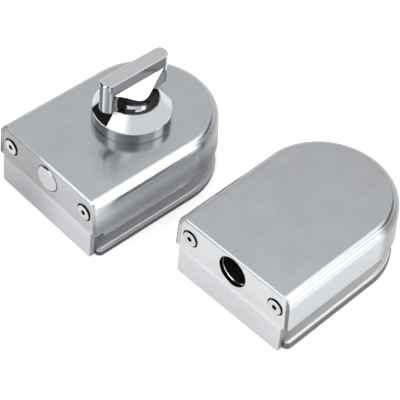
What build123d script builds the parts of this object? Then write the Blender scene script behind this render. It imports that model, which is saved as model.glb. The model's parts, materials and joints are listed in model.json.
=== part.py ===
from build123d import *
import math
import os

# A glass door lock in two halves: the lock half with its thumb turn and bolt, and the keeper half.
# Each half clamps on the edge of a glass door. Units are millimetres.
# A half is made in its own frame: x across from its middle, y back from its end face, z up from its
# back plate. place_lock and place_keeper then move it to where the halves lie, back plates down.
# The origin is on the ground, under the middle of the thumb turn.

# Outer form, the same for both halves
WIDTH = 69.0
LENGTH = 94.0
HEIGHT = 35.0
COVER_TAPER = 3.2
COVER_ROUND = 4.5
COVER_WALL = 2.2
COVER_SKIN = 1.0
COVER_RIM = 16.0
COVER_EDGE = 0.3
COVER_EDGE_BACK = 0.8
COVER_RIM_EDGE = 0.3
ROOF = HEIGHT - COVER_SKIN

# Glass and the stack that holds it: back plate, clamp plate, gasket, glass, gasket, tray
GLASS = 10.0
GASKET = 1.0
BACK_PLATE = 4.0
BACK_PLATE_HALF = 34.0
BACK_PLATE_FRONT = 2.6
BACK_PLATE_CORNER = 2.6
BACK_PLATE_ROUND = 2.4
CLAMP_PLATE = 0.8
CLAMP_HALF = 27.6
GASKET_HALF = 27.2
GLASS_LOW = BACK_PLATE + CLAMP_PLATE + GASKET
GLASS_TOP = GLASS_LOW + GLASS

# Face plate
FACE = 2.0
FACE_GAP = 0.05
FOOT_HALF = 31.3
FOOT_PROUD = 0.5
FOOT_CORNER = 0.8
FOOT_LEDGE = 1.6
CENTRE_Z = 25.8
FACE_EDGE = 0.1
HOLE_EDGE = 0.1

# Frame inside a cover
BLOCK_HALF = 30.6
BLOCK_BACK = 14.5
BLOCK_LOW = GLASS_TOP + 0.1
BLOCK_TOP = 31.0
WEB_BACK = 8.5
WEB_HALF = 27.0
TRAY_LOW = GLASS_TOP + GASKET
TRAY_TOP = TRAY_LOW + 3.5
TRAY_HALF = 31.0
STACK_FRONT = WEB_BACK + 2.1

# Screws: head radius, shank radius, length, hexagon across flats
FACE_SCREW = (3.75, 2.0, 10.0, 2.5)
BACK_SCREW = (2.8, 1.5, 9.0, 2.0)
FACE_SCREW_X = 25.8
FACE_SCREW_Z = 25.6
FACE_SCREW_PROUD = 0.6
FACE_SCREW_ROOM = 0.8
BACK_SCREW_X = 20.0
BACK_SCREW_Y = 6.0
SET_SCREW = (2.5, 3.8, 2.5)
SET_SCREWS = [(-22.0, 22.0), (22.0, 22.0), (-22.0, 60.0), (22.0, 60.0)]
POSTS = [(-23.0, 40.0), (23.0, 40.0), (0.0, 79.0)]
POST_R = 4.0
POST_SCREW = (3.4, 2.0, 7.5, 2.5)

# Bolt and what drives it
BOLT_R = 6.5
BOLT_BAR_END = 32.0
BOLT_HOLE_GAP = 0.35
BOLT_PROUD = 0.5
RUNNING_GAP = 0.05
BUSH_WALL = 1.5
GROOVE_HALF = 8.0
TAIL_HALF = 14.0
TAIL_FRONT = 28.0
TAIL_BACK = 64.0
TAIL_LOW = 23.0
TAIL_TOP = 27.0
PIN_R = 2.0
PIN_CIRCLE = 9.0
YOKE_PLAY = 0.35
CRANK_LOW = 28.0
CRANK_TOP = 30.4
SPINDLE = 6.0
SPINDLE_TOP = 54.0
SPINDLE_HOLE = 6.06
RAIL_FRONT = 20.0
RAIL_BACK = 66.0
RAIL_WIDTH = 2.5
RAIL_GAP = 0.3

# Thumb turn and its rosette; heights of the knob are above the cover's top
KNOB_Y = 50.0
ROSETTE_R = 18.7
ROSETTE_WALL = 6.2
ROSETTE_HEIGHT = 12.5
ROSETTE_TOP_R = 12.8
ROSETTE_EDGE = 0.25
ROSETTE_UNDERCUT = 0.45
RECESS_R = 12.3
RECESS = 2.0
ROSETTE_SPIGOT = 9.9
ROSETTE_SPIGOT_LOW = 31.9
NUT_HALF = 14.0
WASHER = 0.8
WASHER_R = 12.1
NECK_R = 9.2
FLARE_R = 15.5
FLARE_TOP = 24.4
FLARE_PULL = [(6.6, 16.0), (8.0, 20.5)]
FACET_SLOPE = 62.0
BAR_LENGTH = 38.4
BAR_WIDTH = 7.6
BAR_TOP = 30.8
BAR_END_LOW = 14.8
BAR_BEVEL = 0.5
BAR_CLEAR = 0.5
SPIGOT_R = 6.0
SPIGOT_LOW = 30.6
CIRCLIP = (30.9, 31.7)
CIRCLIP_R = 7.8
CIRCLIP_GROOVE = 5.4

# The knob's grub screw, on the spindle
GRUB_H = 15.4
GRUB_R = 2.0
GRUB_LENGTH = 4.5

# Keeper
HOLE_R = 7.9
STRIKE_PLATE = 1.2
STRIKE_HALF = 13.0
STRIKE_HOLE = 7.5
STRIKE_EDGE = 0.3
CUP_R = 8.3
CUP_WALL = 0.8

# Where the halves lie
KEEPER_X = 93.15
KEEPER_Y = 27.4
KEEPER_YAW = 2.5

nodes = {}


def d_face(half_width, front, end, z=0.0):
    """A flat D at height z: straight sides from front, and a half round end that reaches end."""
    start_of_round = end - half_width
    edges = [
        Line((-half_width, front), (half_width, front)),
        Line((half_width, front), (half_width, start_of_round)),
        ThreePointArc((half_width, start_of_round), (0, end), (-half_width, start_of_round)),
        Line((-half_width, start_of_round), (-half_width, front)),
    ]
    return Pos(0, 0, z) * make_face(edges)


def d_plate(half_width, front, end, low, high):
    return extrude(d_face(half_width, front, end, low), amount=high - low)


def slab(x, y, z):
    """A box from three pairs of limits."""
    size = [pair[1] - pair[0] for pair in (x, y, z)]
    middle = [(pair[1] + pair[0]) / 2 for pair in (x, y, z)]
    return Pos(*middle) * Box(*size)


def upright(x, y, radius, low, high):
    """A cylinder along z."""
    return Pos(x, y, (low + high) / 2) * Cylinder(radius, high - low)


def lengthwise(x, z, radius, front, back):
    """A cylinder along y."""
    return Pos(x, (front + back) / 2, z) * Rot(90, 0, 0) * Cylinder(radius, back - front)


def turned(profile):
    """A solid turned about z from points of radius and height."""
    return revolve(Plane.XZ * make_face(Polyline(*profile, close=True)), Axis.Z)


def countersunk(head_r, shank_r, length, hexagon):
    """A countersunk socket screw, its flat top at z 0 and its shank down."""
    cone = head_r - shank_r
    profile = [(0, 0), (head_r, 0), (head_r, -0.3), (shank_r, -0.3 - cone), (shank_r, -length), (0, -length)]
    socket = extrude(RegularPolygon(hexagon / 2, 6, major_radius=False), amount=-cone)
    return turned(profile) - socket


def countersink(head_r, shank_r, sunk, depth, gap=0.1):
    """The hole for such a screw, opening upwards past z 0, with the head sunk below z 0."""
    cone = head_r - shank_r
    top = head_r + 0.1
    low = -sunk - 0.3 - cone - 0.1 + gap
    hole_r = shank_r + gap
    return turned([(0, 1), (top, 1), (top, -sunk - 0.3), (hole_r, low), (hole_r, -depth), (0, -depth)])


def set_screw(radius, length, hexagon):
    """A socket set screw with its flat point at z 0."""
    socket = extrude(RegularPolygon(hexagon / 2, 6, major_radius=False), amount=-length / 2)
    return Pos(0, 0, length / 2) * Cylinder(radius, length) - Pos(0, 0, length) * socket


def hole_bevel(radius, size):
    """What bevels the edge of a round hole that opens upwards at z 0."""
    return turned([(0, size), (radius + 2 * size, size), (radius, -size), (0, -size)])


def cover_form(inset, top, edge_round):
    """The cover's form set in by inset: a D that narrows upwards, its top edge rounded, its front long."""
    rim = d_face(WIDTH / 2 - inset, -30, LENGTH - inset, COVER_RIM)
    block = extrude(rim, amount=top - COVER_RIM, taper=COVER_TAPER)
    return fillet(block.edges().group_by(Axis.Z)[-1], edge_round)


def make_cover(holes):
    outer = cover_form(0, HEIGHT, COVER_ROUND)
    outer = chamfer(outer.edges().group_by(Axis.Z)[0], COVER_RIM_EDGE)
    outer &= slab((-WIDTH, WIDTH), (0, 2 * LENGTH), (0, HEIGHT + 1))
    front = outer.faces().sort_by(Axis.Y)[0]
    mouth_edges = front.edges().filter_by(lambda edge: edge.center().Z > COVER_RIM + 1)
    outer = chamfer(mouth_edges, COVER_EDGE, COVER_EDGE_BACK, reference=front)
    cover = outer - cover_form(COVER_WALL, ROOF, COVER_ROUND - COVER_WALL)
    return cover - holes if holes else cover


def make_face_plate(hole_r):
    """The end face: its upper part fills the cover's mouth and its foot closes the glass slot's front."""
    mouth = cover_form(COVER_WALL + FACE_GAP, ROOF - FACE_GAP, COVER_ROUND - COVER_WALL)
    upper = mouth & slab((-WIDTH, WIDTH), (0, FACE), (COVER_RIM, HEIGHT))
    front = upper.faces().sort_by(Axis.Y)[0]
    rim_edges = front.edges().filter_by(lambda edge: edge.center().Z > COVER_RIM + 1)
    upper = chamfer(rim_edges, FACE_EDGE)
    ledge = COVER_RIM - FOOT_LEDGE
    side_view = Polyline((FACE, 0), (-FOOT_PROUD, 0), (-FOOT_PROUD, ledge), (0, COVER_RIM), (FACE, COVER_RIM),
                         close=True)
    foot = extrude(Plane.YZ * make_face(side_view), amount=FOOT_HALF, both=True)
    foot = fillet(foot.edges().filter_by(Axis.Y).group_by(Axis.Z)[0], FOOT_CORNER)
    plate = upper + foot - lengthwise(0, CENTRE_Z, hole_r, -1, FACE + 1)
    plate -= Pos(0, 0, CENTRE_Z) * Rot(90, 0, 0) * hole_bevel(hole_r, HOLE_EDGE)
    for x in (-FACE_SCREW_X, FACE_SCREW_X):
        plate -= Pos(x, 0, FACE_SCREW_Z) * Rot(90, 0, 0) * countersink(*FACE_SCREW[:2], -FACE_SCREW_PROUD, 8)
        plate -= lengthwise(x, FACE_SCREW_Z, FACE_SCREW[0] + FACE_SCREW_ROOM, -1, FACE_SCREW_ROOM)
    return plate


def make_frame(front_hole_r):
    """The cast frame: a front block, the web that the glass edge meets, and the tray behind."""
    block = slab((-BLOCK_HALF, BLOCK_HALF), (FACE, BLOCK_BACK), (BLOCK_LOW, BLOCK_TOP))
    web = slab((-WEB_HALF, WEB_HALF), (FACE, WEB_BACK), (BACK_PLATE, BLOCK_LOW + 1))
    tray = d_plate(TRAY_HALF, BLOCK_BACK - 1, LENGTH - COVER_WALL - 1.3, TRAY_LOW, TRAY_TOP)
    frame = block + web + tray
    frame -= lengthwise(0, CENTRE_Z, front_hole_r, FACE - 1, BLOCK_BACK + 1)
    for x in (-FACE_SCREW_X, FACE_SCREW_X):
        tapped = countersink(*FACE_SCREW[:2], -FACE_SCREW_PROUD, BLOCK_BACK - 1, gap=0)
        frame -= Pos(x, 0, FACE_SCREW_Z) * Rot(90, 0, 0) * tapped
    for x in (-BACK_SCREW_X, BACK_SCREW_X):
        frame -= upright(x, BACK_SCREW_Y, BACK_SCREW[1], 0, BACK_SCREW[2] + 1)
    post_hole = Rot(180, 0, 0) * countersink(*POST_SCREW[:2], 0, TRAY_TOP - TRAY_LOW + 1)
    for x, y in POSTS:
        frame -= Pos(x, y, TRAY_LOW) * post_hole
    return frame


def make_back_plate():
    plate = d_plate(BACK_PLATE_HALF, BACK_PLATE_FRONT, LENGTH, 0, BACK_PLATE)
    corners = plate.edges().filter_by(Axis.Z).group_by(Axis.Y)[0]
    plate = fillet(corners, BACK_PLATE_CORNER)
    plate = fillet(plate.edges().group_by(Axis.Z)[-1], BACK_PLATE_ROUND)
    for x in (-BACK_SCREW_X, BACK_SCREW_X):
        plate -= Pos(x, BACK_SCREW_Y, 0) * Rot(180, 0, 0) * countersink(*BACK_SCREW[:2], 0.2, BACK_PLATE + 1)
    for x, y in SET_SCREWS:
        plate -= upright(x, y, SET_SCREW[0], -1, BACK_PLATE + 1)
    return plate


def make_half(prefix, cover_holes, face_hole_r, block_hole_r):
    """What both halves share, by node name, in the half's own frame."""
    made = {}
    made["cover"] = make_cover(cover_holes)
    made["face_plate"] = make_face_plate(face_hole_r)
    made["frame"] = make_frame(block_hole_r)
    made["back_plate"] = make_back_plate()
    clamp_end = LENGTH - BACK_PLATE_HALF + CLAMP_HALF
    gasket_end = LENGTH - BACK_PLATE_HALF + GASKET_HALF
    made["clamp_plate"] = d_plate(CLAMP_HALF, STACK_FRONT, clamp_end, BACK_PLATE, BACK_PLATE + CLAMP_PLATE)
    made["back_gasket"] = d_plate(GASKET_HALF, STACK_FRONT, gasket_end, GLASS_LOW - GASKET, GLASS_LOW)
    made["front_gasket"] = d_plate(GASKET_HALF, BLOCK_BACK + 0.5, gasket_end, GLASS_TOP, GLASS_TOP + GASKET)
    clamp_screw = Rot(180, 0, 0) * set_screw(*SET_SCREW)
    made["clamp_screws"] = Compound([Pos(x, y, BACK_PLATE) * clamp_screw for x, y in SET_SCREWS])
    post = upright(0, 0, POST_R, TRAY_TOP, ROOF) - upright(0, 0, POST_SCREW[1], 0, TRAY_TOP + 6)
    made["cover_posts"] = Compound([Pos(x, y, 0) * post for x, y in POSTS])
    post_screws = [Pos(x, y, TRAY_LOW) * Rot(180, 0, 0) * countersunk(*POST_SCREW) for x, y in POSTS]
    made["cover_screws"] = Compound(post_screws)
    face_screw = Pos(0, -FACE_SCREW_PROUD, FACE_SCREW_Z) * Rot(90, 0, 0) * countersunk(*FACE_SCREW)
    made["face_screws"] = Compound([Pos(x, 0, 0) * face_screw for x in (-FACE_SCREW_X, FACE_SCREW_X)])
    back_screw = Pos(0, BACK_SCREW_Y, 0.2) * Rot(180, 0, 0) * countersunk(*BACK_SCREW)
    made["back_screws"] = Compound([Pos(x, 0, 0) * back_screw for x in (-BACK_SCREW_X, BACK_SCREW_X)])
    return {f"{prefix}_{name}": shape for name, shape in made.items()}


def place_lock(shape):
    return Pos(0, -KNOB_Y, 0) * shape


def place_keeper(shape):
    return Pos(KEEPER_X, KEEPER_Y - KNOB_Y, 0) * Rot(0, 0, KEEPER_YAW) * shape


def make_bolt():
    """A round bar in front and a flat tail with the yoke slot that the crank's pin drives."""
    bar = lengthwise(0, CENTRE_Z, BOLT_R, -BOLT_PROUD, BOLT_BAR_END)
    bar = chamfer(bar.edges().sort_by(Axis.Y)[0], 0.4)
    tail = slab((-TAIL_HALF, TAIL_HALF), (TAIL_FRONT, TAIL_BACK), (TAIL_LOW, TAIL_TOP))
    tail = fillet(tail.edges().filter_by(Axis.Z), 2)
    reach = PIN_CIRCLE + PIN_R + YOKE_PLAY
    yoke = extrude(SlotOverall(2 * reach, 2 * (PIN_R + YOKE_PLAY)), amount=5, both=True)
    return bar + tail - Pos(0, yoke_y, (TAIL_LOW + TAIL_TOP) / 2) * yoke


def make_crank():
    """The lever on the spindle: a hub and an arm to the drive pin."""
    hub = upright(0, KNOB_Y, 7, CRANK_LOW, CRANK_TOP)
    tip = upright(pin_x, yoke_y, PIN_R + 2.2, CRANK_LOW, CRANK_TOP)
    turn = math.degrees(math.atan2(yoke_y - KNOB_Y, pin_x))
    arm = Rot(0, 0, turn) * Box(PIN_CIRCLE, 8, CRANK_TOP - CRANK_LOW)
    arm = Pos(pin_x / 2, (KNOB_Y + yoke_y) / 2, (CRANK_LOW + CRANK_TOP) / 2) * arm
    square = Pos(0, KNOB_Y, CRANK_LOW) * Box(SPINDLE_HOLE, SPINDLE_HOLE, 20)
    return hub + tip + arm - square - upright(pin_x, yoke_y, PIN_R, 0, HEIGHT)


def make_rosette():
    """A turned ring with a wall, a cone and a recess, and a threaded spigot through the cover."""
    bore = SPIGOT_R + RUNNING_GAP
    wall_top = HEIGHT + ROSETTE_WALL
    top = HEIGHT + ROSETTE_HEIGHT
    profile = [(bore, ROSETTE_SPIGOT_LOW), (ROSETTE_SPIGOT, ROSETTE_SPIGOT_LOW), (ROSETTE_SPIGOT, HEIGHT),
               (ROSETTE_R - ROSETTE_UNDERCUT, HEIGHT), (ROSETTE_R, HEIGHT + ROSETTE_UNDERCUT),
               (ROSETTE_R, wall_top - ROSETTE_EDGE), (ROSETTE_R - ROSETTE_EDGE, wall_top + ROSETTE_EDGE),
               (ROSETTE_TOP_R, top), (RECESS_R, top), (RECESS_R, top - RECESS), (bore, top - RECESS)]
    return Pos(0, KNOB_Y, 0) * turned(profile)


def make_thumb_turn():
    """A waisted neck that flares into a bar, with a steep facet on each side, on a spigot."""
    neck = HEIGHT + ROSETTE_HEIGHT - RECESS + WASHER
    flare_top = HEIGHT + FLARE_TOP
    pulls = [(r, HEIGHT + h) for r, h in FLARE_PULL]
    outline = [
        Line((0, SPIGOT_LOW), (SPIGOT_R, SPIGOT_LOW)),
        Line((SPIGOT_R, SPIGOT_LOW), (SPIGOT_R, neck)),
        Line((SPIGOT_R, neck), (NECK_R, neck)),
        Bezier((NECK_R, neck), *pulls, (FLARE_R, flare_top)),
        Line((FLARE_R, flare_top), (0, flare_top)),
        Line((0, flare_top), (0, SPIGOT_LOW)),
    ]
    knob = revolve(Plane.XZ * make_face(outline), Axis.Z)
    for side in (-1, 1):
        facet = Pos(side * BAR_WIDTH / 2, 0, flare_top) * Rot(0, side * FACET_SLOPE, 0)
        knob -= facet * Pos(side * 15, 0, 10) * Box(40, 60, 20)
    top = HEIGHT + BAR_TOP
    half = BAR_LENGTH / 2
    end_low = HEIGHT + BAR_END_LOW
    root = math.sqrt(NECK_R**2 - BAR_WIDTH**2 / 4)
    over_rim = HEIGHT + ROSETTE_HEIGHT + BAR_CLEAR
    side_view = Polyline((-half, top), (-half, end_low), (-root, over_rim), (-root, neck), (root, neck),
                         (root, over_rim), (half, end_low), (half, top), close=True)
    bar = extrude(Plane.YZ * make_face(side_view), amount=BAR_WIDTH, both=True)
    bar &= Pos(0, 0, neck - 1) * Rot(0, 0, 90) * extrude(SlotOverall(BAR_LENGTH, BAR_WIDTH), amount=40)
    bar = chamfer(bar.edges().group_by(Axis.Z)[-1], BAR_BEVEL)
    knob += bar
    knob -= Pos(0, 0, SPIGOT_LOW) * Box(SPINDLE_HOLE, SPINDLE_HOLE, 2 * (SPINDLE_TOP - SPIGOT_LOW))
    knob -= slab((-20, 20), (-20, 20), CIRCLIP) - upright(0, 0, CIRCLIP_GROOVE, 0, HEIGHT)
    knob -= grub_hole()
    return Pos(0, KNOB_Y, 0) * knob


def grub_hole():
    reach = NECK_R + 2 - SPINDLE / 2
    return Pos(-NECK_R - 2, 0, HEIGHT + GRUB_H) * Rot(0, 90, 0) * Cylinder(GRUB_R, 2 * reach)


yoke_y = KNOB_Y + PIN_CIRCLE * math.sin(math.pi / 4)
pin_x = -PIN_CIRCLE * math.sin(math.pi / 4)

# Lock half
rosette_hole = upright(0, KNOB_Y, ROSETTE_SPIGOT + 0.1, HEIGHT - 5, HEIGHT + 1)
bush_r = BOLT_R + RUNNING_GAP + BUSH_WALL
lock = make_half("lock", rosette_hole, BOLT_R + BOLT_HOLE_GAP, bush_r)
groove = slab((-GROOVE_HALF, GROOVE_HALF), (BLOCK_BACK - 1, BOLT_BAR_END + 2), (TRAY_LOW + 1, TRAY_TOP + 1))
lock["lock_frame"] -= groove
rail_x = TAIL_HALF + RAIL_GAP + RAIL_WIDTH / 2
for x in (-rail_x, rail_x):
    rail = slab((x - RAIL_WIDTH / 2, x + RAIL_WIDTH / 2), (RAIL_FRONT, RAIL_BACK), (TRAY_TOP, TAIL_TOP))
    lock["lock_frame"] += rail
under_roof = slab((-WIDTH, WIDTH), (0, LENGTH), (0, ROOF - 0.1))
bush = lengthwise(0, CENTRE_Z, bush_r, FACE, BLOCK_BACK) & under_roof
lock["lock_bolt_bush"] = bush - lengthwise(0, CENTRE_Z, BOLT_R + RUNNING_GAP, 0, BLOCK_BACK + 1)
lock["bolt"] = make_bolt()
lock["crank"] = make_crank()
lock["crank_pin"] = upright(pin_x, yoke_y, PIN_R, TAIL_LOW + 0.3, CRANK_TOP)
half = SPINDLE / 2
lock["spindle"] = slab((-half, half), (KNOB_Y - half, KNOB_Y + half), (CRANK_LOW, SPINDLE_TOP))
lock["thumb_turn"] = make_thumb_turn()
grub_screw = Rot(0, -90, 0) * set_screw(GRUB_R, GRUB_LENGTH, 2.0)
lock["knob_grub_screw"] = Pos(-SPINDLE / 2, KNOB_Y, HEIGHT + GRUB_H) * grub_screw
circlip = upright(0, KNOB_Y, CIRCLIP_R, *CIRCLIP) - upright(0, KNOB_Y, CIRCLIP_GROOVE, 0, HEIGHT)
lock["knob_circlip"] = circlip - slab((-2.5, 2.5), (KNOB_Y, KNOB_Y + 10), CIRCLIP)
recess_floor = HEIGHT + ROSETTE_HEIGHT - RECESS
lock["knob_washer"] = (upright(0, KNOB_Y, WASHER_R, recess_floor, recess_floor + WASHER - 0.02)
                       - upright(0, KNOB_Y, SPIGOT_R + 0.2, 0, 2 * HEIGHT))
lock["rosette"] = make_rosette()
nut = extrude(RegularPolygon(NUT_HALF, 6, major_radius=False), amount=ROOF - ROSETTE_SPIGOT_LOW)
lock["rosette_nut"] = Pos(0, KNOB_Y, ROSETTE_SPIGOT_LOW) * nut - upright(0, KNOB_Y, ROSETTE_SPIGOT, 0, HEIGHT)

# Keeper half
keeper = make_half("keeper", None, HOLE_R, CUP_R)
strike = slab((-STRIKE_HALF, STRIKE_HALF), (FACE, FACE + STRIKE_PLATE), (BLOCK_LOW + 0.3, ROOF - 0.3))
keeper["keeper_frame"] = keeper["keeper_frame"] - strike
strike -= lengthwise(0, CENTRE_Z, STRIKE_HOLE, 0, BLOCK_BACK)
strike_bevel = Pos(0, FACE, CENTRE_Z) * Rot(90, 0, 0) * hole_bevel(STRIKE_HOLE, STRIKE_EDGE)
keeper["keeper_strike_plate"] = strike - strike_bevel
cup = lengthwise(0, CENTRE_Z, CUP_R, FACE + STRIKE_PLATE, BLOCK_BACK) & under_roof
keeper["keeper_strike_cup"] = cup - lengthwise(0, CENTRE_Z, CUP_R - CUP_WALL, 0, BLOCK_BACK - CUP_WALL)

for name, shape in lock.items():
    nodes[name] = place_lock(shape)
for name, shape in keeper.items():
    nodes[name] = place_keeper(shape)

os.makedirs("parts", exist_ok=True)
for name, shape in nodes.items():
    export_step(shape, f"parts/{name}.step")
print(len(nodes), "sub-parts written")
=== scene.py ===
# %% [markdown]
# # A glass door lock and its keeper
# Two rounded stainless halves lie side by side on a white table. The left one is the lock, with a thumb turn on a
# polished rosette and a round bolt in its end face. The right one is the keeper, with the hole that the bolt enters.
# The CAD model is loaded first. Its shapes are right already, so this file only gives them light, a camera and
# finishes.

# %% Load the frame
import json
import math

import bmesh
import bpy
from mathutils import Matrix, Vector

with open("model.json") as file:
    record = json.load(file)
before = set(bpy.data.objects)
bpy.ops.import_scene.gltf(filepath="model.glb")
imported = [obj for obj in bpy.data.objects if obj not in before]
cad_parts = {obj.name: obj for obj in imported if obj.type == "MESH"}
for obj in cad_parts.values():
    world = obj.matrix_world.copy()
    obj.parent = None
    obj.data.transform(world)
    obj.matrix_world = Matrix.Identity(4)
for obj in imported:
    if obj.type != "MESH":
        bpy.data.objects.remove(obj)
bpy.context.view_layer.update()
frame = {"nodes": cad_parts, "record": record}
nodes = frame["nodes"]

# %% [markdown]
# ## The camera
# The photograph looks down at the locks from the right and in front, through a long lens. A camera can be pointed by
# angles, but three directions are easier to get right: where it looks, what is to its right, and what is up. They are
# worked out from the bearing, the height angle and the roll, and they become the columns of the camera's matrix.

# %% Camera
BEARING = math.radians(43.157)
HEIGHT_ANGLE = math.radians(47.5)
ROLL = math.radians(5.859)
CAMERA_PLACE = Vector((0.4186, -0.3947, 0.6089))
LENS = 158.08
NEAREST = 0.01

looking = Vector((-math.sin(BEARING) * math.cos(HEIGHT_ANGLE), math.cos(BEARING) * math.cos(HEIGHT_ANGLE),
                  -math.sin(HEIGHT_ANGLE)))
level_right = Vector((math.cos(BEARING), math.sin(BEARING), 0))
level_up = level_right.cross(looking)
right = math.cos(ROLL) * level_right + math.sin(ROLL) * level_up
up = right.cross(looking)

camera_data = bpy.data.cameras.new("camera")
camera_data.lens = LENS
camera_data.clip_start = NEAREST
camera = bpy.data.objects.new("camera", camera_data)
bpy.context.scene.collection.objects.link(camera)
camera.matrix_world = Matrix.Translation(CAMERA_PLACE) @ Matrix((right, up, -looking)).transposed().to_4x4()
bpy.context.scene.camera = camera
bpy.context.scene.view_settings.view_transform = "Standard"
print("camera looks along", tuple(round(v, 3) for v in looking))

# %% [markdown]
# ## Shader maths as Python
# A finish is a net of nodes. Written as Python expressions the net can be read like a formula. One small class wraps
# a socket and turns + - * into Math nodes. Another holds a net of nodes and adds any node in one call.

# %% Helpers for materials
class Wire:
    """A number that a node gives, which Python's arithmetic can be used on."""

    def __init__(self, net, socket):
        self.net = net
        self.socket = socket

    def __add__(self, other):
        return self.net.maths("ADD", self, other)

    def __sub__(self, other):
        return self.net.maths("SUBTRACT", self, other)

    def __rsub__(self, other):
        return self.net.maths("SUBTRACT", other, self)

    def __mul__(self, other):
        return self.net.maths("MULTIPLY", self, other)

    __radd__ = __add__
    __rmul__ = __mul__


class Net:
    """The nodes of one material or world."""

    def __init__(self, tree):
        self.tree = tree
        tree.nodes.clear()

    def node(self, kind, settings=None, **values):
        """Adds a node, makes its settings, then gives its sockets values or links. A_b in a name stands for A b."""
        node = self.tree.nodes.new(kind)
        for name, value in (settings or {}).items():
            setattr(node, name, value)
        for name, value in values.items():
            self.give(node.inputs[name.replace("_", " ")], value)
        return node

    def give(self, socket, value):
        """Gives a socket a plain value, or a link from a Wire or another socket."""
        if isinstance(value, Wire):
            value = value.socket
        if isinstance(value, bpy.types.NodeSocket):
            self.tree.links.new(value, socket)
        else:
            socket.default_value = value

    def maths(self, operation, *values):
        """One Math node."""
        node = self.node("ShaderNodeMath", {"operation": operation})
        for socket, value in zip(node.inputs, values):
            self.give(socket, value)
        return Wire(self, node.outputs[0])

    def smooth(self, value, low, high):
        """0 below low, 1 above high, and a smooth step between."""
        node = self.node("ShaderNodeMapRange", {"interpolation_type": "SMOOTHSTEP"}, Value=value, From_Min=low,
                         From_Max=high)
        return Wire(self, node.outputs[0])

    def mix(self, factor, first, second):
        """A colour between first and second."""
        node = self.node("ShaderNodeMix", {"data_type": "RGBA"})
        for name, value in (("Factor_Float", factor), ("A_Color", first), ("B_Color", second)):
            self.give(next(s for s in node.inputs if s.identifier == name), value)
        return next(s for s in node.outputs if s.identifier == "Result_Color")

    def place(self, scale=(1, 1, 1), turn=0.0):
        """Object coordinates in metres, turned about Z and scaled."""
        where = self.node("ShaderNodeTexCoord").outputs["Object"]
        turned = self.node("ShaderNodeMapping", Vector=where, Rotation=(0, 0, turn))
        return self.node("ShaderNodeMapping", Vector=turned.outputs[0], Scale=scale).outputs[0]

    def noise(self, vector, detail):
        """A noise from 0 to 1. The vector is already scaled."""
        return Wire(self, self.node("ShaderNodeTexNoise", Vector=vector, Scale=1.0, Detail=detail).outputs[0])

    def axes(self, vector):
        """The three numbers of a vector."""
        return [Wire(self, s) for s in self.node("ShaderNodeSeparateXYZ", Vector=vector).outputs]


def new_material(name):
    """A material, and the net that its nodes go in."""
    material = bpy.data.materials.new(name)
    material.use_nodes = True
    return material, Net(material.node_tree)


def finish_with(net, surface):
    """Links a shader to the material's output."""
    net.give(net.node("ShaderNodeOutputMaterial").inputs["Surface"], surface.outputs[0])


# %% [markdown]
# ## The studio
# Polished metal shows the room more than itself, so the room matters as much as the finish. This room is a grey
# studio with a bright ceiling. It has a tall softbox in front with a black screen to the left of it, a side box on
# the right for the rounded edges, and two dark patches: the shade behind the camera, and one beside the side box. The
# ceiling comes a little lower on the right and at the back, and the side box has a second part higher up. The world
# shader paints these by direction, each a patch between two bearings and two heights. They could be glowing panels,
# but a panel gets in the way when the locks are seen from another side. One soft lamp over the camera gives the
# shadow. The floor is white where the camera or a shiny surface sees it, and it still takes the soft shadow under the
# locks.

# %% World
WHITE = (1, 1, 1, 1)
ROOM_GREY = 0.78
BACK_GREY = 0.60
CEILING = 1.7
FRONT_BOX = 1.6
SIDE_BOX = 1.8
SCREEN = 0.015
CAMERA_SHADE = 0.08
SIDE_SHADE = 0.08

world = bpy.data.worlds.new("studio")
bpy.context.scene.world = world
world.use_nodes = True
sky = Net(world.node_tree)
toward = sky.axes(sky.node("ShaderNodeTexCoord").outputs["Generated"])
bearing = sky.maths("ARCTAN2", toward[1], toward[0])
rise = sky.maths("ARCSINE", toward[2])


def sector(low, high, soft, soft_end=None):
    """1 between two bearings in degrees, 0 outside them. The second edge may have a softness of its own."""
    low, high, soft, soft_end = (math.radians(v) for v in (low, high, soft, soft_end or soft))
    begun = sky.smooth(bearing, low - soft, low + soft)
    return begun * (1 - sky.smooth(bearing, high - soft_end, high + soft_end))


def band(low, high, soft):
    """1 between two heights in degrees, 0 outside them."""
    low, high, soft = math.radians(low), math.radians(high), math.radians(soft)
    return sky.smooth(rise, low - soft, low + soft) * (1 - sky.smooth(rise, high - soft, high + soft))


# Each patch is laid over the ones before it.
light = ROOM_GREY
for value, patch in ((CEILING, band(55, 100, 3)),
                     (CEILING, sector(-17, 108, 5) * band(49.5, 100, 1.5)),
                     (SIDE_BOX, sector(24, 37, 2) * band(-20, 24, 1.5)),
                     (SIDE_BOX, sector(29, 58, 3) * band(35, 100, 1)),
                     (SIDE_SHADE, sector(61, 106, 3) * band(34, 50, 2)),
                     (BACK_GREY, sector(108, 178, 6) * band(25, 53, 4)),
                     (FRONT_BOX, sector(-110.5, -61, 0.6, 22) * band(22, 60, 2)),
                     (CAMERA_SHADE, sector(-88, -17, 3) * band(45, 67, 1)),
                     (SCREEN, sector(-170, -111, 0.6) * band(2, 46, 2))):
    light = light + patch * (value - light)
background = sky.node("ShaderNodeBackground", Color=WHITE, Strength=light)
sky.give(sky.node("ShaderNodeOutputWorld").inputs["Surface"], background.outputs[0])
print("world nodes:", len(world.node_tree.nodes))

# %% Lamp
KEY_POWER = 0.6
KEY_SIZE = 0.45
KEY_PLACE = Vector((0.25, -0.35, 0.75))
LOOK_AT = Vector((0.045, 0, 0.02))

key = bpy.data.lights.new("key", "AREA")
key.shape = "DISK"
key.size = KEY_SIZE
key.energy = KEY_POWER
holder = bpy.data.objects.new("key", key)
bpy.context.scene.collection.objects.link(holder)
holder.location = KEY_PLACE
holder.rotation_euler = (LOOK_AT - KEY_PLACE).to_track_quat("-Z", "Y").to_euler()
holder.visible_glossy = False
print("lamp:", KEY_POWER, "W,", round((LOOK_AT - KEY_PLACE).length, 3), "m from the locks")

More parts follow.
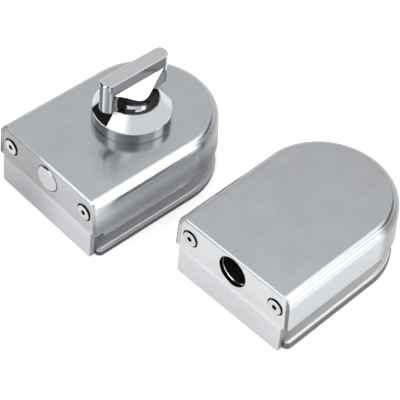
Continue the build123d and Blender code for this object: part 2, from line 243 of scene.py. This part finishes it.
# %% Floor
FLOOR_SIZE = 4.0
FLOOR_DROP = 0.0002
CAMERA_GLOW = 0.45
GLOSS_GLOW = 0.12
PAPER = (0.8, 0.8, 0.8, 1)

floor_mesh = bpy.data.meshes.new("floor")
shape = bmesh.new()
bmesh.ops.create_grid(shape, x_segments=1, y_segments=1, size=FLOOR_SIZE)
bmesh.ops.translate(shape, verts=shape.verts, vec=(0, 0, -FLOOR_DROP))
shape.to_mesh(floor_mesh)
shape.free()
floor = bpy.data.objects.new("floor", floor_mesh)
bpy.context.scene.collection.objects.link(floor)
material, net = new_material("floor_white")
path = net.node("ShaderNodeLightPath").outputs
in_gloss = net.maths("MAXIMUM", path["Is Glossy Ray"], path["Is Transmission Ray"])
seen = Wire(net, path["Is Camera Ray"]) * CAMERA_GLOW + in_gloss * GLOSS_GLOW
paper = net.node("ShaderNodeBsdfDiffuse", Color=PAPER)
glow = net.node("ShaderNodeEmission", Color=WHITE, Strength=seen)
both = net.tree.nodes.new("ShaderNodeAddShader")
net.give(both.inputs[0], paper.outputs[0])
net.give(both.inputs[1], glow.outputs[0])
finish_with(net, both)
floor_mesh.materials.append(material)
print("floor:", [round(v, 3) for v in floor.dimensions], "m")

# %% [markdown]
# ## Satin stainless steel
# The covers and end faces are brushed: fine parallel scratches that blur what they reflect, a little more in some
# places than in others. The scratches are a noise that is stretched a hundredfold along the grain. They change the
# colour, the roughness and the height by a little. The same noise, twelve times as wide, adds faint streaks. A third
# noise adds the clouds that polishing leaves. A picture of brushed steel could be wrapped round the pieces instead,
# but a noise has no seams and never repeats. Each piece gets its own brightness and its own grain direction.

# %% Satin steel
BLACK = (0, 0, 0, 1)
MEAN_NOISE = 0.5
ALONG_GRAIN = 30
ACROSS_GRAIN = 3000
STREAK_WIDTH = 12
CLOUD_SCALE = (60, 60, 60)
LEAST_LIGHT = 0.90
FINE_LIGHT = 0.05
STREAK_LIGHT = 0.06
CLOUD_LIGHT = 0.05
SATIN_ROUGHNESS = 0.20
FINE_ROUGHNESS = 0.10
CLOUD_ROUGHNESS = 0.06
SCRATCH_STRENGTH = 0.20
SCRATCH_HEIGHT = 0.00005


def principled(net, tint, rough, bump, metallic=1.0):
    """Ends a finish with its one shader."""
    shader = net.node("ShaderNodeBsdfPrincipled", Base_Color=tint, Metallic=metallic, Roughness=rough,
                      Normal=bump.outputs[0])
    finish_with(net, shader)


def satin_steel(name, colour, turn=0.0, along="Y", shade=None, metallic=1.0):
    """Brushed steel whose grain runs along X or Y after a turn about Z. shade paints light and shade in by place."""
    material, net = new_material(name)
    grain = [ALONG_GRAIN if axis == along else ACROSS_GRAIN for axis in "XYZ"]
    fine = net.noise(net.place(grain, -turn), detail=4)
    clouds = net.noise(net.place(CLOUD_SCALE), detail=3)
    streaks = net.noise(net.place([scale / STREAK_WIDTH for scale in grain], -turn), detail=2)
    light = LEAST_LIGHT + FINE_LIGHT * fine + STREAK_LIGHT * streaks + CLOUD_LIGHT * clouds
    if shade:
        light = light * shade(net)
    tint = net.mix(light, BLACK, (*colour, 1))
    rough = SATIN_ROUGHNESS + FINE_ROUGHNESS * (fine - MEAN_NOISE) + CLOUD_ROUGHNESS * (clouds - MEAN_NOISE)
    bump = net.node("ShaderNodeBump", Strength=SCRATCH_STRENGTH, Distance=SCRATCH_HEIGHT, Height=fine)
    principled(net, tint, rough, bump, metallic)
    return material


# %% [markdown]
# ## Polished chrome
# Chrome is almost a mirror. What makes it look real is what is slightly wrong: a faint haze that comes and goes, and
# a surface that is not quite flat after the polishing wheel. So the mirror takes two wide, weak noises, one for its
# roughness and one for its height.

# %% Polished chrome
HAZE_SCALE = (140, 140, 140)
HAZE_FROM = (0.5, 0.75)
HAZE_ROUGHNESS = 0.05
CHROME_ROUGHNESS = 0.035
CHROME_DIP = 0.97
WAVE_SCALE = (90, 90, 90)
WAVE_STRENGTH = 0.05
WAVE_HEIGHT = 0.0002


def cloudy(colour, dip):
    """The two ends of a cloudy colour: dip times the colour, and the colour itself."""
    return (*[dip * part for part in colour], 1), (*colour, 1)


def polished_chrome(name, colour, shade):
    """A near mirror with a faint haze. shade paints shade in by place."""
    material, net = new_material(name)
    haze = net.noise(net.place(HAZE_SCALE), detail=4)
    wave = net.noise(net.place(WAVE_SCALE), detail=1)
    rough = CHROME_ROUGHNESS + HAZE_ROUGHNESS * net.smooth(haze, *HAZE_FROM)
    bump = net.node("ShaderNodeBump", Strength=WAVE_STRENGTH, Distance=WAVE_HEIGHT, Height=wave)
    tint = net.mix(shade(net), BLACK, net.mix(haze, *cloudy(colour, CHROME_DIP)))
    principled(net, tint, rough, bump)
    return material


# %% [markdown]
# ## Soft and plain finishes
# The gaskets are white silicone, and the bolt's bush is nylon. The washer under the thumb turn and the cup behind the
# keeper's hole are black plastic; the washer's black is also painted shade, standing in for the dark in the rosette's
# recess round the neck. The frames are cast, and screws and other small steel pieces are plated. All are the same
# recipe, so one function makes them all: a colour with a little cloud in it, a roughness, and a grain.

# %% Plain finishes
MOTTLE_SCALE = (80, 80, 80)
MOTTLE_DIP = 0.9
MOTTLE_ROUGHNESS = 0.12
PEBBLE_STRENGTH = 0.5


def moulded(name, colour, roughness, grain, depth, metallic=0.0, shade=None):
    """A moulded, cast or plated surface. grain is the size of its texture in metres, depth its height."""
    material, net = new_material(name)
    cloud = net.noise(net.place(MOTTLE_SCALE), detail=3)
    pebble = net.noise(net.place((1 / grain, 1 / grain, 1 / grain)), detail=3)
    tint = net.mix(cloud, *cloudy(colour, MOTTLE_DIP))
    # shade paints shade into the colour by place.
    if shade:
        tint = net.mix(shade(net), BLACK, tint)
    bump = net.node("ShaderNodeBump", Strength=PEBBLE_STRENGTH, Distance=depth, Height=pebble)
    rough = roughness + MOTTLE_ROUGHNESS * (cloud - MEAN_NOISE)
    principled(net, tint, rough, bump, metallic)
    return material


# %% [markdown]
# ## Painted light and shade by place
# Each piece is one material, yet light and shade do not fall alike on all its sides. A material for each side would
# need its faces picked one by one, and would end in a hard line. These small functions paint the light and shade into
# the colour instead, as a tone from 0 to 1 by where a point lies in its own half: x across from the middle, y back
# from the end face, z up, all in metres. Most places below are a pair: where a tone starts to change, and where it
# has changed.

# %% Places in each half
LOCK_TURN = 0.0
KEEPER_TURN = math.radians(2.5)
LOCK_FRONT = (0, -0.050, 0)
KEEPER_FRONT = (0.09315, -0.0226, 0)


def blend(first, second, share):
    """first where share is 0, second where it is 1."""
    return first + share * (second - first)


def in_half(net, front, turn):
    """x, y and z in metres from the middle of a half's end face."""
    x, y, z = net.axes(net.place(turn=-turn))
    start = Matrix.Rotation(-turn, 3, "Z") @ Vector(front)
    return x - start[0], y - start[1], z


def height(net):
    """z in metres, which is the same in both halves."""
    return net.axes(net.place())[2]


# %% [markdown]
# ### Painted light and shade on the covers
# A cover is one pressed sheet, and light and shade do not fall alike on all of it, so they are painted into its
# colour. The long rounding on the right gets a painted highlight and is the brightest part. The round end, the left
# rounding, the left front corner, the cut ends of the walls and the top's front edge get painted shade, and so does
# the lower part of the lock's side. The tones are laid over each other one by one, so each step only says where it
# starts.

# %% Painted light and shade of the covers
COVER_RIM = 0.016
COVER_TAPER = math.tan(math.radians(3.2))
RIM_Z = (0.0163, 0.0165)
SIDE_Z = (0.0195, 0.0285)
ROUND_Z = (0.0290, 0.0310)
TOP_Z = (0.0337, 0.0349)
BEND_Y = (0.0585, 0.0650)
FAR_BEND_Y = (0.0700, 0.0820)
LEFT_X = (-0.022, -0.006)
CUT_END_X = (0.0310, 0.0316)
CUT_END_Y = (0.0001, 0.0003)
CUT_MIDDLE_X = (-0.001, 0.001)
CORNER_X = (0.0336, 0.0338)
CORNER_Y = (0.0007, 0.0009)
EDGE_Y = (0.0008, 0.0009)
EDGE_Z = (0.0338, 0.0341)
EDGE_MIDDLE_X = (-0.009, 0.001)

# How deep the painted shade goes, and how much painted light comes back further round the end.
PAINTED_SIDE_BEND_SHADE = 0.45
PAINTED_ROUND_BEND_SHADE = 0.62
PAINTED_FAR_BEND_LIGHT = 0.18
PAINTED_LEFT_ROUND_SHADE = 0.48
PAINTED_CORNER_SHADE = 0.7


def cover_painted_light(front, turn, top, side, side_low, cut_ends, front_edge):
    """Painted light and shade for a cover's top and for its sides above and below. The rounding between them is 1 on
    the long right side, a painted highlight. cut_ends and front_edge give painted shade for left and right: the
    walls' cut ends, and the top's front edge."""

    def tone(net):
        x, y, z = in_half(net, front, turn)
        off_middle = net.maths("ABSOLUTE", x)
        on_left = 1 - net.smooth(x, *LEFT_X)

        # Painted shade on the bend round the end, with some painted light again further round.
        bend = net.smooth(y, *BEND_Y)
        rounding = 1 - PAINTED_ROUND_BEND_SHADE * bend + PAINTED_FAR_BEND_LIGHT * net.smooth(y, *FAR_BEND_Y)
        # Painted tones for the sides, their lower part, the roundings and the top.
        tones = blend(side_low, side, net.smooth(z, *SIDE_Z)) * (1 - PAINTED_SIDE_BEND_SHADE * bend)
        tones = blend(tones, rounding * (1 - PAINTED_LEFT_ROUND_SHADE * on_left), net.smooth(z, *ROUND_Z))
        tones = blend(tones, top, net.smooth(z, *TOP_Z))
        tones = blend(side, tones, net.smooth(z, *RIM_Z))

        # Painted shade on the walls' cut ends.
        cut_end = (1 - net.smooth(y, *CUT_END_Y)) * net.smooth(off_middle, *CUT_END_X)
        tones = tones * blend(1, blend(*cut_ends, net.smooth(x, *CUT_MIDDLE_X)), cut_end)

        # Painted shade on the left front corner.
        # The walls lean in, so the corner is found by how far out it would be at the rim.
        at_rim = off_middle + COVER_TAPER * (z - COVER_RIM)
        left_corner = (1 - net.smooth(y, *CORNER_Y)) * net.smooth(at_rim, *CORNER_X) * on_left
        tones = tones * (1 - PAINTED_CORNER_SHADE * left_corner)

        # Painted shade along the top's front edge.
        edge = (1 - net.smooth(y, *EDGE_Y)) * net.smooth(z, *EDGE_Z)
        return tones * blend(1, blend(*front_edge, net.smooth(x, *EDGE_MIDDLE_X)), edge)

    return tone


# %% [markdown]
# ### Painted shade on the end faces and the strike
# Under each end face is a foot whose thin ends get painted shade. The lock's end face also gets painted shade on its
# left and over its foot. The walls of the face's holes belong to the same piece, so a painted shade that starts just
# behind the face darkens the gaps round the bolt and the screws. The strike lies behind the keeper's hole, with
# painted shade on its upper part.

# %% Painted shade of the end faces and the strike
FACE_ACROSS_X = (-0.012, 0.014)
OVER_FOOT_Z = (0.0145, 0.0160)
FOOT_END_X = (0.0311, 0.03125)
FOOT_TOP_Z = (0.0155, 0.0160)
GAP_Y = (0.00010, 0.00025)
FACE_END_X = (0.0304, 0.0306)
STRIKE_Z = (0.0205, 0.0235)

# How deep the painted shade goes.
PAINTED_FOOT_END_SHADE = 0.5
PAINTED_GAP_SHADE = 0.9
PAINTED_STRIKE_SHADE = 0.85


def face_painted_shade(front, turn, left=1.0, upper=1.0):
    """Painted shade for an end face's left part and for the part over its foot. The foot's thin ends and the walls of
    the face's holes get painted shade too."""

    def tone(net):
        x, y, z = in_half(net, front, turn)
        off_middle = net.maths("ABSOLUTE", x)
        tones = blend(left, 1, net.smooth(x, *FACE_ACROSS_X)) * blend(1, upper, net.smooth(z, *OVER_FOOT_Z))
        foot_end = net.smooth(off_middle, *FOOT_END_X) * (1 - net.smooth(z, *FOOT_TOP_Z))
        in_gap = net.smooth(y, *GAP_Y) * (1 - net.smooth(off_middle, *FACE_END_X))
        return tones * (1 - PAINTED_FOOT_END_SHADE * foot_end) * (1 - PAINTED_GAP_SHADE * in_gap)

    return tone


def strike_painted_shade(net):
    """Painted shade on the strike, which is left bright only at the lower part of its hole."""
    return 1 - PAINTED_STRIKE_SHADE * net.smooth(height(net), *STRIKE_Z)


# %% [markdown]
# ### The screws in the end faces
# A countersunk screw shows by the dark ring round its head and by its dark socket, both painted shade. Both are found
# by the distance from the screw's axis. The two screws of a half mirror each other, so one distance does for both.

# %% Painted shade of the end faces' screws
SCREW_X = 0.0258
SCREW_Z = 0.0256
HEAD_SIDE_R = (0.00366, 0.00372)
SOCKET_R = (0.0018, 0.0019)
SOCKET_Y = (-0.00050, -0.00040)

# How deep the painted shade goes.
PAINTED_HEAD_SIDE_SHADE = 0.95
PAINTED_SOCKET_SHADE = 0.85


def screw_painted_shade(front, turn):
    """Painted shade on the side of the screws' heads and in their sockets."""

    def tone(net):
        x, y, z = in_half(net, front, turn)
        across = net.maths("ABSOLUTE", x) - SCREW_X
        above = z - SCREW_Z
        from_axis = net.maths("SQRT", across * across + above * above)
        socket = net.smooth(y, *SOCKET_Y) * (1 - net.smooth(from_axis, *SOCKET_R))
        return (1 - PAINTED_HEAD_SIDE_SHADE * net.smooth(from_axis, *HEAD_SIDE_R)) * (1 - PAINTED_SOCKET_SHADE * socket)

    return tone


# %% [markdown]
# ### Painted shade on the back plates, the rosette and the thumb turn
# The cut edges of the back plates, the rosette's upright wall and the flanks of the thumb turn's bar get painted
# shade, darker than what lies next to them. Each ends at a height of its own, so a tone by height finds it. The
# flanks also need how far they lie from the bar's middle.

# %% Painted shade of the back plates, the rosette and the thumb turn
UNDERSIDE_Z = (0.0001, 0.0002)
PLATE_TOP_Z = (0.00396, 0.00399)
CONE_Z = (0.0409, 0.0411)
FLANK_X = (0.00370, 0.00378)
PAST_FLANK_X = (0.00385, 0.00390)
BAR_BEVEL_Z = (0.0652, 0.0654)

# How deep the painted shade goes.
PAINTED_WALL_SHADE = 0.5
PAINTED_FLANK_SHADE = 0.75


def back_edge_painted_shade(rounding_z, edge, rounding):
    """A back plate's edge gets painted shade from just over its underside up to its rounding, which has a painted
    shade of its own. Its top and its underside get none."""

    def tone(net):
        z = height(net)
        tones = blend(edge, rounding, net.smooth(z, *rounding_z))
        tones = blend(tones, 1, net.smooth(z, *PLATE_TOP_Z))
        return blend(1, tones, net.smooth(z, *UNDERSIDE_Z))

    return tone


def rosette_painted_shade(net):
    """Painted shade on the rosette's upright wall, which is darker than its cone."""
    return 1 - PAINTED_WALL_SHADE * (1 - net.smooth(height(net), *CONE_Z))


def bar_flank_painted_shade(net):
    """Painted shade on the flat flanks of the thumb turn's bar."""
    x, _, z = net.axes(net.place())
    off_middle = net.maths("ABSOLUTE", x)
    flank = net.smooth(off_middle, *FLANK_X) * (1 - net.smooth(off_middle, *PAST_FLANK_X))
    return 1 - PAINTED_FLANK_SHADE * flank * (1 - net.smooth(z, *BAR_BEVEL_Z))


# %% [markdown]
# ## Dressing the pieces
# A piece takes the finish that has its own name, or else the one for the material slot that the CAD model gives it.
# The finishes could be given face by face, but one for each piece is easy to follow and to change. The back plates
# are only part metallic, so they mirror less of the room than the covers do.

# %% Finishes
LOCK_STEEL = (0.905, 0.937, 0.975)
KEEPER_STEEL = (0.922, 0.950, 0.978)
# The lock's end face and back plate are given darker colours than the keeper's, as painted shade on the lock's half.
LOCK_FACE = (0.80, 0.815, 0.84)
KEEPER_FACE = (0.84, 0.85, 0.87)
LOCK_BACK = (0.55, 0.565, 0.59)
KEEPER_BACK = (0.94, 0.945, 0.955)
BACK_METALLIC = 0.4
CLAMP_STEEL = (0.7, 0.7, 0.7)
STRIKE_STEEL = (0.90, 0.90, 0.90)
BOLT_STEEL = (0.74, 0.75, 0.77)
CHROME = (0.84, 0.85, 0.865)
ROSETTE_CHROME = (0.77, 0.80, 0.83)
SILICONE = (0.92, 0.92, 0.91)
NYLON = (0.80, 0.79, 0.75)
BLACK_PLASTIC = (0.012, 0.012, 0.013)
CAST_METAL = (0.42, 0.42, 0.43)
PLATED_STEEL = (0.60, 0.61, 0.63)
SCREW_FINISH = {"colour": (0.82, 0.82, 0.83), "roughness": 0.25, "grain": 0.0015, "depth": 0.00001, "metallic": 1.0}

# The halves get different painted tones; the lock's sides go darker towards the bottom as painted shade.
lock_cover_painted_light = cover_painted_light(LOCK_FRONT, LOCK_TURN, top=0.72, side=0.76, side_low=0.36, cut_ends=(0.72, 0.74),
                             front_edge=(0.6, 1.0))
keeper_cover_painted_light = cover_painted_light(KEEPER_FRONT, KEEPER_TURN, top=0.67, side=0.80, side_low=0.80, cut_ends=(1.0, 0.32),
                               front_edge=(0.86, 0.86))

finishes = {
    "lock_cover": satin_steel("lock_cover_satin", LOCK_STEEL, shade=lock_cover_painted_light),
    "keeper_cover": satin_steel("keeper_cover_satin", KEEPER_STEEL, turn=KEEPER_TURN, shade=keeper_cover_painted_light),
    "lock_face_plate": satin_steel("lock_face_satin", LOCK_FACE, along="X",
                                   shade=face_painted_shade(LOCK_FRONT, LOCK_TURN, left=0.72, upper=0.78)),
    "keeper_face_plate": satin_steel("keeper_face_satin", KEEPER_FACE, turn=KEEPER_TURN, along="X",
                                     shade=face_painted_shade(KEEPER_FRONT, KEEPER_TURN)),
    "lock_back_plate": satin_steel("lock_back_satin", LOCK_BACK, metallic=BACK_METALLIC,
                                   shade=back_edge_painted_shade(rounding_z=(0.0021, 0.0026), edge=0.19, rounding=0.85)),
    "keeper_back_plate": satin_steel("keeper_back_satin", KEEPER_BACK, turn=KEEPER_TURN, metallic=BACK_METALLIC,
                                     shade=back_edge_painted_shade(rounding_z=(0.0030, 0.0035), edge=0.20, rounding=0.9)),
    "lock_clamp_plate": satin_steel("lock_clamp_satin", CLAMP_STEEL),
    "keeper_clamp_plate": satin_steel("keeper_clamp_satin", CLAMP_STEEL, turn=KEEPER_TURN),
    "keeper_strike_plate": satin_steel("strike_satin", STRIKE_STEEL, turn=KEEPER_TURN, along="X", shade=strike_painted_shade),
    "bolt": satin_steel("bolt_satin", BOLT_STEEL, along="X"),
    "rosette": polished_chrome("rosette_chrome", ROSETTE_CHROME, rosette_painted_shade),
    "thumb_turn": polished_chrome("knob_chrome", CHROME, bar_flank_painted_shade),
    "gasket": moulded("white_silicone", SILICONE, roughness=0.5, grain=0.0008, depth=0.00003),
    "nylon": moulded("nylon", NYLON, roughness=0.45, grain=0.0006, depth=0.00002),
    # The washer's black also stands in for the shade round the thumb turn's neck, as painted shade.
    "black_plastic": moulded("black_plastic", BLACK_PLASTIC, roughness=0.5, grain=0.0006, depth=0.00003),
    "cast_frame": moulded("cast_frame", CAST_METAL, roughness=0.5, grain=0.0005, depth=0.00005, metallic=1.0),
    "plated_steel": moulded("plated_steel", PLATED_STEEL, roughness=0.32, grain=0.0012, depth=0.00001, metallic=1.0),
    "screw_steel": moulded("screw_steel", **SCREW_FINISH),
    "lock_face_screws": moulded("lock_face_screw_steel", shade=screw_painted_shade(LOCK_FRONT, LOCK_TURN), **SCREW_FINISH),
    "keeper_face_screws": moulded("keeper_face_screw_steel", shade=screw_painted_shade(KEEPER_FRONT, KEEPER_TURN),
                                  **SCREW_FINISH),
}
print("finishes:", len(finishes))

# %% Give the finishes to the CAD nodes
slot_of = {part["node"]: part["material_slot"] for part in frame["record"]["subparts"]}
for name, piece in nodes.items():
    piece.data.materials.clear()
    piece.data.materials.append(finishes.get(name) or finishes[slot_of[name]])
print("dressed pieces:", len(nodes))
